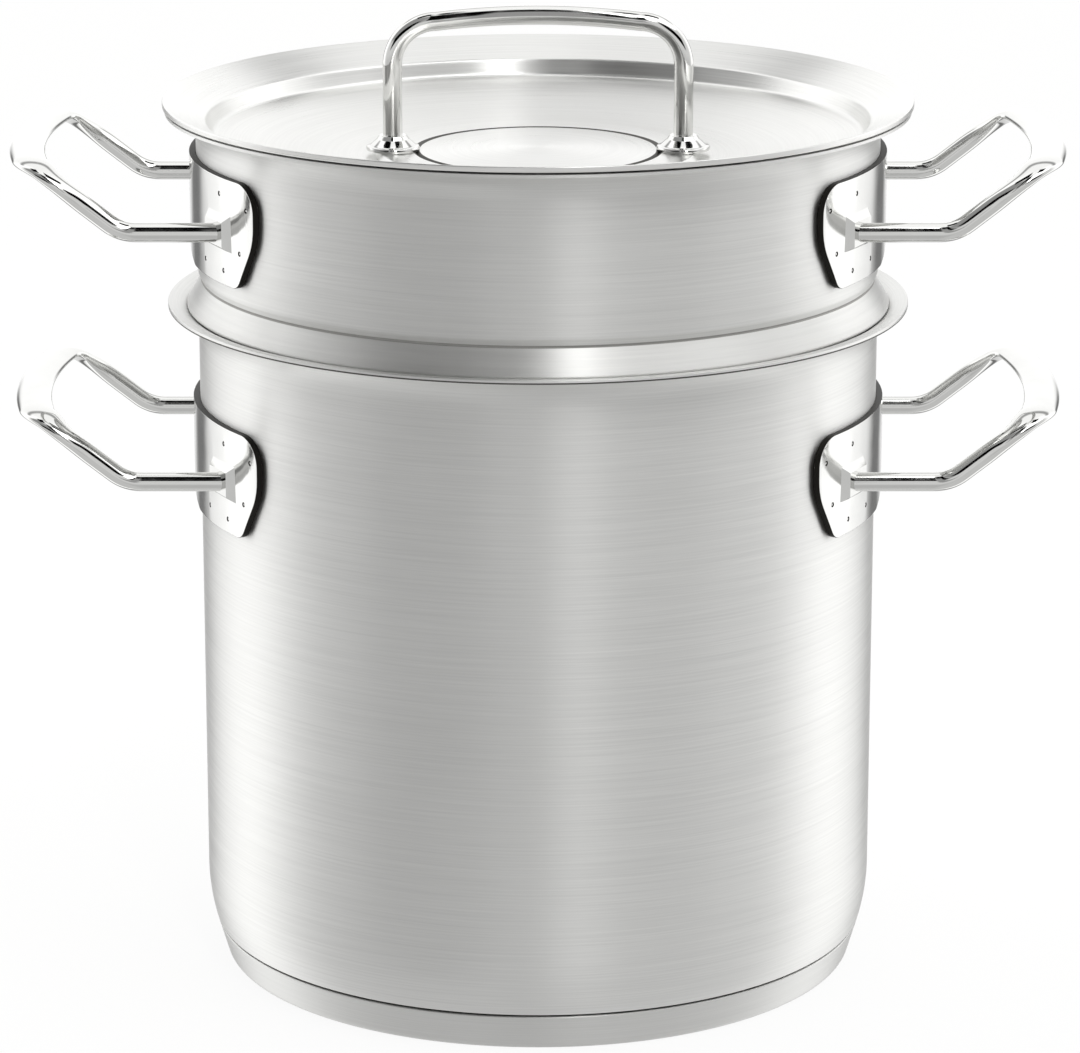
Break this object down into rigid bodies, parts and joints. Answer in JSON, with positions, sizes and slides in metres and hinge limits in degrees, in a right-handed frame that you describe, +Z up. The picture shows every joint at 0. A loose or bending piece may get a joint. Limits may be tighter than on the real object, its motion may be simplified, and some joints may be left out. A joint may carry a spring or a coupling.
{
  "type": "pasta pot",
  "caption": "Tall round steel cooking pot with a hanging perforated strainer insert and a recessed lid; bent bar handles on the sides of pot and insert, a bridge handle on the lid.",
  "frame": {"origin": "centre of the base, on the plane that the pot stands on", "axes": "+Z up along the pot's axis, +X and -X through the side handles, -Y towards the viewer of the picture"},
  "size_m": [0.3678, 0.2624, 0.3439],
  "materials": {
    "brushed_steel": "horizontally brushed satin",
    "base_steel": "brushed satin",
    "insert_steel": "brushed satin",
    "lid_steel": "brushed satin, polished rim",
    "polished_bar_steel": "polished",
    "polished_plate_steel": "polished",
    "polished_foot_steel": "polished",
    "cast_aluminium": "as cast"
  },
  "bodies": {
    "pot": {"pot_body": "brushed_steel", "base_core": "cast_aluminium", "base_cap": "base_steel", "pot_bracket_left": "polished_plate_steel", "pot_bracket_right": "polished_plate_steel", "pot_handle_left": "polished_bar_steel", "pot_handle_right": "polished_bar_steel"},
    "insert": {"insert_body": "insert_steel", "insert_bracket_left": "polished_plate_steel", "insert_bracket_right": "polished_plate_steel", "insert_handle_left": "polished_bar_steel", "insert_handle_right": "polished_bar_steel"},
    "lid": {"lid_shell": "lid_steel", "lid_handle": "polished_bar_steel", "lid_foot_left": "polished_foot_steel", "lid_foot_right": "polished_foot_steel"}
  },
  "joints": [
    {"name": "insert_lift", "type": "slide", "parent": "pot", "child": "insert", "axis": [0, 0, 1], "range_m": [0, 0.22]},
    {"name": "lid_lift", "type": "slide", "parent": "insert", "child": "lid", "axis": [0, 0, 1], "range_m": [0, 0.15]}
  ]
}
